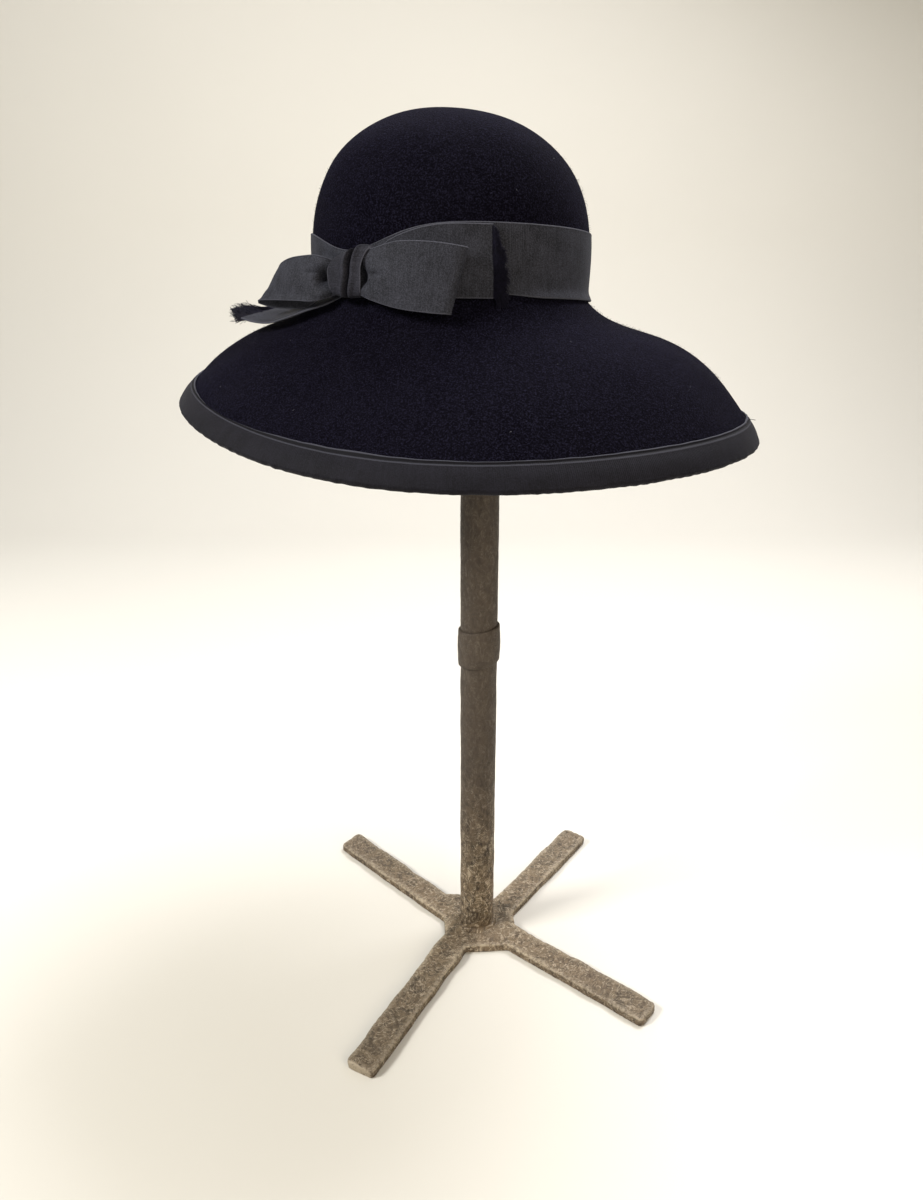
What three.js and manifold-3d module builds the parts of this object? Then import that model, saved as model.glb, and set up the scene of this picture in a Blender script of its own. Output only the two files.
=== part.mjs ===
// A wide-brim felt hat with a ribbon bow, resting on the plain iron stand that displays it.
// Millimetres, +Z up. The origin is on the floor, under the axis of the stand's post.
// The hat has a frame of its own: +X to the wearer's front, +Y to the wearer's left, and its
// origin at the middle of the crown where the crown meets the brim.
import * as THREE from 'three';
import { mergeVertices } from 'three/addons/utils/BufferGeometryUtils.js';
import Module from 'manifold-3d';

const wasm = await Module();
wasm.setup();

const degrees = THREE.MathUtils.degToRad;
const GAP = 0.3; // between two pieces that touch on the real object

// ---------------------------------------------------------------- driving dimensions

const HAT = {
  x: -20, y: 15.1, z: 492.7, // where the crown's base centre is, in the stand's frame
  tipBack: degrees(-3.8), // about X: the side of the brim at -Y is lifted
  tipSide: degrees(0.7), // about Y
  turn: degrees(-45), // the wearer's front points to +X and -Y
};

const FELT = { thickness: 2.5, columns: 60 };

// Round the hat, a size that changes is given as a mean and the first waves: front is the
// amount added in front and taken off behind, left the same for the wearer's left and
// right, oval is added in front and behind and taken off at the sides, and twist is added
// on the front-left and back-right quarters.
const CROWN = {
  halfLength: 92.1, halfWidth: 86.5, height: 109.2, // outside, but for the tuck
  fullness: { mean: 3.28, front: 0.25, left: 0.25, oval: 0, twist: 0 },
  tuck: 2.5, tuckSpan: 30, // how far the ribbon draws the base in, and how far up that goes
  leanX: -4.6, leanY: -4.5, // how far the tip lies off the middle
  rows: 9,
};

const BRIM = {
  width: { mean: 94, front: 5.7, left: 6.7, oval: 7.3, twist: 5.5 },
  drop: { mean: 76.5, front: 15.4, left: -3.4, oval: -4.3, twist: -4.7 },
  rootFall: 0.151, rootReach: 0.108, // the bend out of the crown, as shares
  slope: 0.293, droop: 0.556, // then a slope that steepens to the edge
  droopPower: { mean: 3.42, front: -0.19, left: 1.13, oval: 0, twist: 0 },
  bulge: { mean: -0.031, front: -0.021, left: 0.039, oval: 0.038, twist: 0.029 },
  stations: [0.02, 0.06, 0.14, 0.28, 0.44, 0.6, 0.74],
};

const RIBBON = { thickness: 1, width: 38 };
const BAND = {
  low: 0.2, rows: 4,
  pinchTop: 14, pinchLow: 3, // how far its edges are drawn in at the knot
  frontSpan: 35, backSpan: 26, // and how far around the crown that reaches
};
const BINDING = { width: 15.6, middle: 8 };

const BOW = { bearing: degrees(-85), crownRadius: 88 }; // where the knot sits on the crown
const KNOT = {
  halfLength: 9.4, low: -2.2, high: 24, inner: 1.6, outer: 13,
  endTaper: 0.14, // how much smaller its section is at each end, as a share
  roundness: 0.6, // 1 makes the section an oval, less makes it squarer
  stations: 4, corners: 14,
};

const STAND = {
  barWidth: 22.4, barThickness: 7.2, barEdge: 1.4, tipRound: 4,
  postRadius: 13.35, boreRadius: 10.45, weld: 2, weldRoot: 5,
  splitHeight: 255, sides: 28,
};
const COUPLING = { radius: 15.2, low: 241, high: 269, skew: degrees(8.5), edge: 1 };
const CAP = { radius: 38, domeRadius: 75, rim: 5, seatGap: 0.9 };

// The four bars of the foot: the axis of each runs from its root to its tip. webRight and
// webLeft say how far out from the root, along the bar's two sides as seen looking outward,
// the hub plate's edge leaves the bar.
const FOOT_BARS = [
  { rootX: 6.6, rootY: 0, tipX: 123.8, tipY: -98, webRight: 32, webLeft: 22 },
  { rootX: 9.8, rootY: 0, tipX: 95.5, tipY: 120.5, webRight: 18.5, webLeft: 24.5 },
  { rootX: -8, rootY: 0, tipX: -117.5, tipY: 111, webRight: 36, webLeft: 16.5 },
  { rootX: -5.5, rootY: 0, tipX: -82, tipY: -145.5, webRight: 22.5, webLeft: 29.5 },
];

// Ribbon tables. Each row is one line across the ribbon, from its lower to its upper edge.
// along is measured around the crown from the knot, positive to the wearer's front, and
// straight along the crown's tangent where it is negative. height is above the brim line,
// and lift is outward from the felt.
const row = (lowAlong, low, lowLift, highAlong, high, highLift) => (
  { lowAlong, low, lowLift, highAlong, high, highLift }
);
const FRONT_LOOP = [
  // over the front: knot, spread, middle, before the fold
  row(9.9, 1, 6.5, 9.9, 18, 6.5),
  row(20, -5.5, 11, 20, 24, 8.5),
  row(34, -8.6, 14, 34, 27.5, 9.5),
  row(49, -10.2, 15.5, 52, 26.8, 10.5),
  row(59, -11, 15.6, 67, 24.6, 10.5),
  // the slanting fold, then the layer beneath, back to the knot
  row(60.5, -11, 14, 69, 24.2, 8.4),
  row(58.5, -9.5, 12.2, 66.5, 24, 6.2),
  row(48, -7, 9.6, 51, 25, 5),
  row(33, -5, 7.8, 33, 25, 4.6),
  row(20, -3, 6.2, 20, 21, 4.2),
  row(9.9, 3, 3.6, 9.9, 17, 3.6),
];
const BACK_LOOP = [
  row(-9.9, 0, 6.6, -9.9, 18, 6.6),
  row(-22, -4, 11, -20, 21.5, 8.5),
  row(-36, -4.7, 13.5, -31, 21.8, 9.5),
  row(-54, -4.6, 14, -43, 19.8, 9.5),
  row(-72, -4.4, 12.5, -51, 16, 8.6),
  row(-79, -4.3, 9.8, -56, 12, 7),
  row(-73, -5.4, 7.6, -52, 14.5, 5.2),
  row(-55, -6.8, 6.6, -43, 18, 4.6),
  row(-36, -5, 6, -31, 20, 4.4),
  row(-22, 0, 5, -20, 20, 4.2),
  row(-9.9, 6, 3.8, -9.9, 17, 3.8),
];
const FRONT_TAIL = [
  row(9.9, 2, 2.4, 9.9, 16, 2.4),
  row(25, -0.6, 2.4, 25, 28, 2.4),
  row(40, -1.8, 2.9, 40, 33.8, 2.4),
  row(55, -2.1, 3, 55, 36.6, 2.4),
  row(83.5, -2.1, 3, 83.5, 37, 2.4),
];
const BACK_TAIL = [
  row(-9.9, -1.6, 2.9, -9.9, 3.6, 2.1),
  row(-20, -6, 7.4, -20, -0.6, 1.2),
  row(-34, -9.4, 9.8, -34, -1.8, -2.2),
  row(-50, -13.6, 11.8, -50, -4.2, -8.2),
  row(-66, -16.6, 13, -67, -5.8, -12.6),
  row(-80, -16, 14, -83, -6.4, -16.4),
  row(-91, -14, 14.4, -96, -6.4, -19.6),
];
const FRONT_FRINGE = [
  row(83.9, -1.8, 3, 83.9, 36, 2.3),
  row(89, -5.8, 6.6, 89, 31, 2.6),
  row(94.5, -4.5, 6, 95, 21, 2.6),
];
const BACK_FRINGE = [
  row(-91.4, -13.8, 14.3, -96.4, -6.4, -19.4),
  row(-99, -12, 12.6, -104, -6, -18.6),
  row(-109, -8.2, 9, -112, -5, -14),
];

// ---------------------------------------------------------------- looks

const material = (color, roughness, metalness = 0) => (
  new THREE.MeshStandardMaterial({ color, roughness, metalness })
);
const navyFelt = material('#14131c', 0.95);
const greyRibbon = material('#3d3e46', 0.8);
const navyRibbon = material('#2a2933', 0.8);
const navyThreads = material('#181722', 0.9);
const rustyIron = material('#6b5a4c', 0.75, 0.6);

// ---------------------------------------------------------------- closed surfaces

// Signed volume of an indexed triangle mesh, positive when its faces point out.
function volumeOf(points, triangles) {
  let six = 0;
  for (const [a, b, c] of triangles) {
    six += points[a].dot(new THREE.Vector3().crossVectors(points[b], points[c]));
  }
  return six / 6;
}

// Joins sections of equal length, closed around each section, into one closed surface. The
// run of sections closes on itself, or gets a fan of triangles over each end. Points that
// coincide become one vertex, so a section may run through a pole.
function skin(sections, { ring }) {
  const points = [];
  const known = new Map();
  const vertex = (p) => {
    const key = [p.x, p.y, p.z].map((n) => Math.round(n * 1000)).join();
    if (!known.has(key)) known.set(key, points.push(p) - 1);
    return known.get(key);
  };
  const grid = sections.map((section) => section.map(vertex));
  const triangles = [];
  const add = (a, b, c) => {
    if (a !== b && b !== c && c !== a) triangles.push([a, b, c]);
  };
  const runs = ring ? grid.length : grid.length - 1;
  for (let i = 0; i < runs; i += 1) {
    const here = grid[i];
    const next = grid[(i + 1) % grid.length];
    here.forEach((_, j) => {
      const k = (j + 1) % here.length;
      add(here[j], here[k], next[k]);
      add(here[j], next[k], next[j]);
    });
  }
  if (!ring) {
    const [first, last] = [grid[0], grid[grid.length - 1]];
    for (let j = 1; j < first.length - 1; j += 1) {
      add(first[0], first[j + 1], first[j]);
      add(last[0], last[j], last[j + 1]);
    }
  }
  const inward = volumeOf(points, triangles) < 0;
  const geometry = new THREE.BufferGeometry().setFromPoints(points);
  geometry.setIndex(triangles.flatMap(([a, b, c]) => (inward ? [a, c, b] : [a, b, c])));
  return geometry;
}

// A closed three.js geometry as a manifold solid, and back.
function toSolid(geometry) {
  const bare = geometry.clone();
  bare.deleteAttribute('normal');
  bare.deleteAttribute('uv');
  const merged = mergeVertices(bare, 1e-4);
  return new wasm.Manifold(new wasm.Mesh({
    numProp: 3,
    vertProperties: new Float32Array(merged.attributes.position.array),
    triVerts: new Uint32Array(merged.index.array),
  }));
}

function toGeometry(solid) {
  const { vertProperties, triVerts } = solid.getMesh();
  const geometry = new THREE.BufferGeometry();
  geometry.setAttribute('position', new THREE.BufferAttribute(vertProperties, 3));
  geometry.setIndex(new THREE.BufferAttribute(triVerts, 1));
  return geometry;
}

// A solid of revolution about Z, from a profile of [radius, height] pairs.
function turned(profile) {
  const points = profile.map(([radius, height]) => new THREE.Vector2(radius, height));
  return new THREE.LatheGeometry(points, STAND.sides).rotateX(Math.PI / 2);
}

// ---------------------------------------------------------------- the felt's shape

function wave({ mean, front, left, oval, twist }, bearing) {
  return mean + front * Math.cos(bearing) + left * Math.sin(bearing)
    + oval * Math.cos(2 * bearing) + twist * Math.sin(2 * bearing);
}

function crownRadius(bearing) {
  const { halfLength: a, halfWidth: b } = CROWN;
  return (a * b) / Math.hypot(b * Math.cos(bearing), a * Math.sin(bearing));
}

// How far out the crown's wall is at a bearing and a height above the brim line. Its line is
// (height share)^fullness + (reach share)^2 = 1, less the tuck at the base.
function wallRadius(bearing, height) {
  const share = Math.max(height, 0) / CROWN.height;
  const reach = Math.sqrt(Math.max(1 - share ** wave(CROWN.fullness, bearing), 0));
  return crownRadius(bearing) * reach - CROWN.tuck * Math.exp(-((height / CROWN.tuckSpan) ** 2));
}

// The felt's outer line at a bearing. t runs from 0 at the crown's tip, through 1 at the
// brim line, to 2 at the brim's edge.
function feltLine(bearing, t) {
  if (t <= 1) {
    const angle = (Math.PI / 2) * (1 - t);
    const share = Math.sin(Math.abs(angle)) ** (2 / wave(CROWN.fullness, bearing));
    const height = CROWN.height * share;
    return { radius: wallRadius(bearing, height), height, share };
  }
  const reach = t - 1;
  const fall = BRIM.rootFall * (1 - Math.exp(-reach / BRIM.rootReach))
    + BRIM.slope * reach + BRIM.droop * reach ** wave(BRIM.droopPower, bearing)
    - wave(BRIM.bulge, bearing) * 4 * reach * (1 - reach);
  return {
    radius: wallRadius(bearing, 0) + reach * wave(BRIM.width, bearing),
    height: -fall * wave(BRIM.drop, bearing),
    share: 0,
  };
}

// A point at the given depth under the felt's outer face, square to its line.
function feltAt(bearing, t, depth = 0) {
  const { radius, height, share } = feltLine(bearing, t);
  const leanX = CROWN.leanX * share ** 2;
  const leanY = CROWN.leanY * share ** 2;
  if (t === 0) return new THREE.Vector3(leanX, leanY, height - depth);
  const step = 0.004;
  const before = feltLine(bearing, t - step);
  const after = feltLine(bearing, t + step);
  const run = after.radius - before.radius;
  const rise = after.height - before.height;
  const length = Math.hypot(run, rise);
  const out = radius + (depth * rise) / length;
  return new THREE.Vector3(
    leanX + out * Math.cos(bearing),
    leanY + out * Math.sin(bearing),
    height - (depth * run) / length,
  );
}

// The place on the felt's line that lies the given distance back from the brim's edge.
function backFromEdge(bearing, distance) {
  const steps = 80;
  let left = distance;
  for (let i = 0; i < steps; i += 1) {
    const t = 2 - i / steps;
    const length = feltAt(bearing, t).distanceTo(feltAt(bearing, t - 1 / steps));
    if (length >= left) return t - left / length / steps;
    left -= length;
  }
  return 1;
}

const bearings = Array.from(
  { length: FELT.columns },
  (_, i) => (2 * Math.PI * i) / FELT.columns,
);

// Crown and brim in one shell: out along the outer face, and back along the inner one.
function feltBody() {
  const crown = Array.from({ length: CROWN.rows + 1 }, (_, i) => i / CROWN.rows);
  return skin(bearings.map((bearing) => {
    const line = [
      ...crown,
      ...BRIM.stations.map((share) => 1 + share),
      ...[BINDING.width, BINDING.middle, 0].map((back) => backFromEdge(bearing, back)),
    ];
    return [
      ...line.map((t) => feltAt(bearing, t)),
      ...line.toReversed().map((t) => feltAt(bearing, t, FELT.thickness)),
    ];
  }), { ring: true });
}

// ---------------------------------------------------------------- ribbon trim

// The binding: one ribbon folded over the brim's edge, a U in section.
function brimBinding() {
  const near = GAP;
  const far = GAP + RIBBON.thickness;
  const under = FELT.thickness;
  return skin(bearings.map((bearing) => {
    const at = (back, depth) => feltAt(bearing, backFromEdge(bearing, back), depth);
    const edge = at(0, 0);
    const outward = edge.clone().sub(at(1, 0)).normalize();
    const past = (distance, depth) => at(0, depth).addScaledVector(outward, distance);
    return [
      at(BINDING.width, -far), at(BINDING.middle, -far), at(0, -far),
      past(far, -near), past(far, under + near),
      at(0, under + far), at(BINDING.middle, under + far), at(BINDING.width, under + far),
      at(BINDING.width, under + near), at(BINDING.middle, under + near),
      past(near, under + near), past(near, -near),
      at(BINDING.middle, -near), at(BINDING.width, -near),
    ];
  }), { ring: true });
}

// A point outside the crown's wall, from its bow coordinates.
function onCrown(along, height, lift) {
  const angle = BOW.bearing + Math.max(along, 0) / BOW.crownRadius;
  const share = Math.max(height, 0) / CROWN.height;
  const reach = Math.sqrt(1 - share ** wave(CROWN.fullness, angle));
  const tuck = CROWN.tuck * Math.exp(-((height / CROWN.tuckSpan) ** 2));
  const normal = new THREE.Vector3(
    Math.cos(angle) / CROWN.halfLength,
    Math.sin(angle) / CROWN.halfWidth,
    0,
  ).normalize();
  const tangent = new THREE.Vector3(-normal.y, normal.x, 0);
  return new THREE.Vector3(
    CROWN.halfLength * reach * Math.cos(angle) + CROWN.leanX * share ** 2,
    CROWN.halfWidth * reach * Math.sin(angle) + CROWN.leanY * share ** 2,
    height,
  ).addScaledVector(normal, lift - tuck).addScaledVector(tangent, Math.min(along, 0));
}

// The band: a ribbon around the crown, drawn together where the bow is tied on it.
function hatBand() {
  return skin(bearings.map((bearing) => {
    let turn = bearing - BOW.bearing;
    turn = Math.atan2(Math.sin(turn), Math.cos(turn));
    const span = turn > 0 ? BAND.frontSpan : BAND.backSpan;
    const pinch = Math.exp(-((turn * BOW.crownRadius / span) ** 2));
    const low = BAND.low + BAND.pinchLow * pinch;
    const high = BAND.low + RIBBON.width - BAND.pinchTop * pinch;
    const wall = (share, lift) => {
      const height = low + (high - low) * share;
      const up = height / CROWN.height;
      const out = wallRadius(bearing, height) + lift;
      return new THREE.Vector3(
        CROWN.leanX * up ** 2 + out * Math.cos(bearing),
        CROWN.leanY * up ** 2 + out * Math.sin(bearing),
        height,
      );
    };
    const shares = Array.from({ length: BAND.rows + 1 }, (_, i) => i / BAND.rows);
    return [
      ...shares.map((share) => wall(share, GAP + RIBBON.thickness)),
      ...shares.toReversed().map((share) => wall(share, GAP)),
    ];
  }), { ring: true });
}

// A length of ribbon through the rows of a table, smoothed between them.
function ribbon(table, stepsPerRow) {
  const edge = (side) => {
    const places = table.map((r) => (
      new THREE.Vector3(r[`${side}Along`], r[side], r[`${side}Lift`])
    ));
    const curve = new THREE.CatmullRomCurve3(places, false, 'centripetal');
    return (t) => onCrown(...curve.getPoint(THREE.MathUtils.clamp(t, 0, 1)));
  };
  const [lowEdge, highEdge] = [edge('low'), edge('high')];
  const steps = (table.length - 1) * stepsPerRow;
  const half = RIBBON.thickness / 2;
  const step = 0.002;
  const sections = Array.from({ length: steps + 1 }, (_, i) => {
    const t = i / steps;
    const [low, high] = [lowEdge(t), highEdge(t)];
    const across = high.clone().sub(low);
    const forward = lowEdge(t + step).add(highEdge(t + step))
      .sub(lowEdge(t - step)).sub(highEdge(t - step));
    const face = new THREE.Vector3().crossVectors(forward, across).setLength(half);
    return [
      low.clone().add(face), high.clone().add(face),
      high.clone().sub(face), low.clone().sub(face),
    ];
  });
  return skin(sections, { ring: false });
}

// The knot: the short ribbon wrapped around the bow's middle, in its outer form.
function bowKnot() {
  const { stations, corners, endTaper, roundness } = KNOT;
  const bulge = (value) => Math.sign(value) * Math.abs(value) ** roundness;
  const middle = (KNOT.low + KNOT.high) / 2;
  const lift = (KNOT.inner + KNOT.outer) / 2;
  return skin(Array.from({ length: stations + 1 }, (_, i) => {
    const share = (2 * i) / stations - 1; // -1 at one end, 1 at the other
    const swell = 1 - endTaper * share ** 2;
    return Array.from({ length: corners }, (__, j) => {
      const angle = (2 * Math.PI * j) / corners;
      const height = middle + (KNOT.high - middle) * swell * bulge(Math.sin(angle));
      const out = lift + (KNOT.outer - lift) * swell * bulge(Math.cos(angle));
      return onCrown(share * KNOT.halfLength, height, out);
    });
  }), { ring: false });
}

// ---------------------------------------------------------------- the stand

// The foot's outline: out along each bar's right side, round its tip, and back on its left.
function footOutline() {
  const outline = new THREE.Shape();
  const half = STAND.barWidth / 2;
  FOOT_BARS.forEach((bar, i) => {
    const root = new THREE.Vector2(bar.rootX, bar.rootY);
    const axis = new THREE.Vector2(bar.tipX, bar.tipY).sub(root);
    const length = axis.length();
    axis.normalize();
    const left = new THREE.Vector2(-axis.y, axis.x);
    const at = (out, side) => (
      root.clone().addScaledVector(axis, out).addScaledVector(left, side)
    );
    const to = (method, ...points) => outline[method](...points.flatMap((p) => [p.x, p.y]));
    to(i ? 'lineTo' : 'moveTo', at(bar.webRight, -half));
    to('lineTo', at(length - STAND.tipRound, -half));
    to('quadraticCurveTo', at(length, -half), at(length, STAND.tipRound - half));
    to('lineTo', at(length, half - STAND.tipRound));
    to('quadraticCurveTo', at(length, half), at(length - STAND.tipRound, half));
    to('lineTo', at(bar.webLeft, half));
  });
  outline.closePath();
  return outline;
}

// The foot and the lower length of pipe, welded together, with the bore open at the top.
function footWithLowerPost() {
  const { barThickness, barEdge, postRadius, boreRadius, weld, weldRoot } = STAND;
  const foot = new THREE.ExtrudeGeometry(footOutline(), {
    depth: barThickness - 2 * barEdge,
    bevelThickness: barEdge,
    bevelSize: barEdge,
    bevelOffset: -barEdge,
    bevelSegments: 2,
    curveSegments: 3,
  }).translate(0, 0, barEdge);
  const top = STAND.splitHeight - GAP / 2;
  const pipe = turned([
    [boreRadius, weldRoot], [postRadius + weld, weldRoot], [postRadius + weld, barThickness],
    [postRadius, barThickness + weld], [postRadius, top], [boreRadius, top],
    [boreRadius, weldRoot],
  ]);
  return toGeometry(toSolid(foot).add(toSolid(pipe)));
}

// The sleeve over the joint of the two pipes, a ring whose ends are cut on the skew.
function postCoupling() {
  const { radius, low, high, skew, edge } = COUPLING;
  const bore = STAND.postRadius + GAP;
  const ring = turned([
    [bore, low], [radius - edge, low], [radius, low + edge],
    [radius, high - edge], [radius - edge, high], [bore, high], [bore, low],
  ]);
  const shear = new THREE.Matrix4().makeShear(0, Math.tan(skew), 0, 0, 0, 0);
  return ring.applyMatrix4(shear);
}

// How high the cap's dome stands when the crown's inside comes down on it.
function capHeight(hat) {
  const reach = CAP.domeRadius + CAP.seatGap;
  const rows = 50;
  let centre = Infinity;
  for (const bearing of bearings) {
    for (let i = 0; i < rows; i += 1) {
      const p = hat.localToWorld(feltAt(bearing, i / rows, FELT.thickness));
      const off = Math.hypot(p.x, p.y);
      if (off < CAP.radius) centre = Math.min(centre, p.z - Math.sqrt(reach ** 2 - off ** 2));
    }
  }
  return centre + CAP.domeRadius;
}

// The upper length of pipe with a plain domed cap on it, which carries the crown.
function upperPostWithCap(hat) {
  const { postRadius, boreRadius, splitHeight } = STAND;
  const top = capHeight(hat);
  const fall = (radius) => CAP.domeRadius - Math.sqrt(CAP.domeRadius ** 2 - radius ** 2);
  const under = top - fall(CAP.radius) - CAP.rim;
  const dome = [1, 0.75, 0.5, 0.25, 0].map((share) => (
    [CAP.radius * share, top - fall(CAP.radius * share)]
  ));
  const bottom = splitHeight + GAP / 2;
  return turned([
    [0, under], [boreRadius, under], [boreRadius, bottom], [postRadius, bottom],
    [postRadius, under], [CAP.radius, under], ...dome,
  ]);
}

// ---------------------------------------------------------------- assembly

const model = new THREE.Group();
const hat = new THREE.Group();
hat.position.set(HAT.x, HAT.y, HAT.z);
hat.rotation.set(HAT.tipBack, HAT.tipSide, HAT.turn, 'YXZ');
hat.updateMatrixWorld(true);
model.add(hat);

function add(parent, name, geometry, look) {
  const mesh = new THREE.Mesh(geometry, look);
  mesh.name = name;
  parent.add(mesh);
}

add(hat, 'felt_body', feltBody(), navyFelt);
add(hat, 'brim_binding', brimBinding(), navyRibbon);
add(hat, 'hat_band', hatBand(), greyRibbon);
add(hat, 'bow_knot', bowKnot(), greyRibbon);
add(hat, 'bow_front_loop', ribbon(FRONT_LOOP, 2), greyRibbon);
add(hat, 'bow_back_loop', ribbon(BACK_LOOP, 2), greyRibbon);
add(hat, 'bow_front_tail', ribbon(FRONT_TAIL, 4), greyRibbon);
add(hat, 'bow_back_tail', ribbon(BACK_TAIL, 2), greyRibbon);
add(hat, 'front_tail_fringe', ribbon(FRONT_FRINGE, 2), navyThreads);
add(hat, 'back_tail_fringe', ribbon(BACK_FRINGE, 2), navyThreads);
add(model, 'foot_and_lower_post', footWithLowerPost(), rustyIron);
add(model, 'post_coupling', postCoupling(), rustyIron);
add(model, 'upper_post_and_cap', upperPostWithCap(hat), rustyIron);

export default model;
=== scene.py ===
# A wide-brim felt hat with a tied ribbon bow, resting on the plain iron stand that shows it.
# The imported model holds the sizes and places. This script gives each piece its real surface
# and finish. Sizes are in millimetres and turned to metres where a mesh is made; +Z is up,
# and the origin is on the floor, under the stand's post.
import math

import bmesh
import bpy
import numpy as np
from mathutils import Matrix, Vector


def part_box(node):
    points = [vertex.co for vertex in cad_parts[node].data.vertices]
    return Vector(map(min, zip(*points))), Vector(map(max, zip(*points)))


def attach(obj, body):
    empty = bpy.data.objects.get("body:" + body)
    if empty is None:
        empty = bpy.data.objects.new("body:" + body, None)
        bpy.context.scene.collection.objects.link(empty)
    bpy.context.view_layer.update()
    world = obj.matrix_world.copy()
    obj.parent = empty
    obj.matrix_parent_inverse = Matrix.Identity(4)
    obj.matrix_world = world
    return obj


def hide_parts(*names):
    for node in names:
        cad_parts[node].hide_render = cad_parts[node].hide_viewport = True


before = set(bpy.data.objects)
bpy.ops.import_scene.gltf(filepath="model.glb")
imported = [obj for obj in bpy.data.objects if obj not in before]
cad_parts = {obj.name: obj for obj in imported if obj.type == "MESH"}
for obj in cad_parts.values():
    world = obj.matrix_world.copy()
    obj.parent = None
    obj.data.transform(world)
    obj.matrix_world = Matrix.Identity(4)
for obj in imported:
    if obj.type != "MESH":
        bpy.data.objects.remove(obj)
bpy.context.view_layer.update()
scene = bpy.context.scene


# ------------------------------------------------------------------------------- camera
# It stands a little over half a metre in front of the bow, level with the band, and looks
# down so that the whole of the foot shows.
camera = bpy.data.objects.new("camera", bpy.data.cameras.new("camera"))
camera.location = (-0.0126, -0.603, 0.518)
camera.rotation_euler = (math.radians(90 - 20.8), 0, 0)
camera.data.sensor_width = 36
camera.data.lens = 27.09
scene.collection.objects.link(camera)
scene.camera = camera


# ------------------------------------------------------------- the felt crown and brim
# A hood of wool felt, steamed and blocked to shape in one piece, 2.5 mm thick, and brushed
# to a short velvety nap. It rests on the stand's cap, tipped a little up in front.
MM = 0.001
FELT = 2.5

hat_place = np.array([-20, 15.1, 492.7])
hat_turn = np.array(
    Matrix.Rotation(math.radians(0.7), 3, "Y")
    @ Matrix.Rotation(math.radians(-3.8), 3, "X")
    @ Matrix.Rotation(math.radians(-45), 3, "Z")
)

CROWN_LENGTH = 92.1
CROWN_WIDTH = 86.5
CROWN_HEIGHT = 109.2
CROWN_LEAN = np.array([-4.6, -4.5, 0])
TUCK = 2.5
TUCK_SPAN = 30

# A size that changes round the hat: its mean, then what is added in front and taken off
# behind, the same for the wearer's left, the same for both ends, and for the two quarters.
fullness = (3.28, 0.25, 0.25, 0, 0)
brim_width = (94, 5.7, 6.7, 7.3, 5.5)
brim_drop = (76.5, 15.4, -3.4, -4.3, -4.7)
droop_power = (3.42, -0.19, 1.13, 0, 0)
brim_bulge = (-0.031, -0.021, 0.039, 0.038, 0.029)

# The brim's fall at its edge, in shares: an early bend, an even slope and a late droop. The
# bend is spent over this share of the brim's width.
BEND = 0.151
BEND_SPAN = 0.108
SLOPE = 0.293
DROOP = 0.556


def on_stand(points):
    """Points in the hat's own frame, in mm, turned and moved to where the hat rests, in m."""
    return (points @ hat_turn.T + hat_place) * MM


def wave(size, bearing):
    """mean + front cos b + left sin b + both cos 2b + quarters sin 2b."""
    mean, front, left, both, quarters = size
    return (
        mean
        + front * np.cos(bearing)
        + left * np.sin(bearing)
        + both * np.cos(2 * bearing)
        + quarters * np.sin(2 * bearing)
    )


def bell(x, at, span):
    """1 where x is at its middle, falling off on both sides: e ** -(((x - at) / span) ** 2)."""
    return np.exp(-(((x - at) / span) ** 2))


def wall_radius(bearing, height):
    """The oval's radius, times how far out the dome still is, less the tuck at its base.

    The dome's line is (height share) ** fullness + (reach share) ** 2 = 1.
    """
    oval = CROWN_LENGTH * CROWN_WIDTH / np.hypot(
        CROWN_WIDTH * np.cos(bearing), CROWN_LENGTH * np.sin(bearing)
    )
    share = np.maximum(height, 0) / CROWN_HEIGHT
    reach = np.sqrt(np.maximum(1 - share ** wave(fullness, bearing), 0))
    return oval * reach - TUCK * bell(height, 0, TUCK_SPAN)


def felt_line(bearing, t):
    """Radius, height and height share of the outer face: t is 0 at the tip, 1 at the brim
    line and 2 at the edge. The brim falls by a bend, a slope and a droop, less a bulge."""
    angle = math.pi / 2 * (1 - np.minimum(t, 1))
    share = np.sin(np.abs(angle)) ** (2 / wave(fullness, bearing)) * (t <= 1)
    radius = wall_radius(bearing, CROWN_HEIGHT * share) * np.where(t < 0, -1, 1)
    reach = np.maximum(t - 1, 0)
    fall = (
        BEND * (1 - np.exp(-reach / BEND_SPAN))
        + SLOPE * reach
        + DROOP * reach ** wave(droop_power, bearing)
        - wave(brim_bulge, bearing) * 4 * reach * (1 - reach)
    )
    radius = radius + reach * wave(brim_width, bearing)
    height = CROWN_HEIGHT * share - fall * wave(brim_drop, bearing)
    return radius, height, share


def felt_at(bearing, t, depth=0.0):
    """A point at a depth under the outer face, square to its line, with the dome leant."""
    bearing, t, depth = np.broadcast_arrays(bearing, t, depth)
    radius, height, share = felt_line(bearing, t)
    step = 0.004
    before = felt_line(bearing, t - step)
    after = felt_line(bearing, t + step)
    run = after[0] - before[0]
    rise = after[1] - before[1]
    length = np.hypot(run, rise)
    out = radius + depth * rise / length
    place = [out * np.cos(bearing), out * np.sin(bearing), height - depth * run / length]
    return np.stack(place, -1) + CROWN_LEAN * share[..., None] ** 2


def lengths_along(line):
    """At each of a line's points, the length of the line up to there."""
    step = np.linalg.norm(np.diff(line, axis=0), axis=1)
    return np.concatenate([[0], np.cumsum(step)])


def even_places(count):
    """Places along the felt's line, from tip to edge, with equal lengths between them."""
    t = np.linspace(0, 2, 8001)
    length = lengths_along(felt_at(0.0, t))
    return np.interp(np.linspace(0, length[-1], count), length, t)


def unit(vectors):
    """The same directions, each of length 1."""
    return vectors / np.linalg.norm(vectors, axis=-1, keepdims=True)


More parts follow.
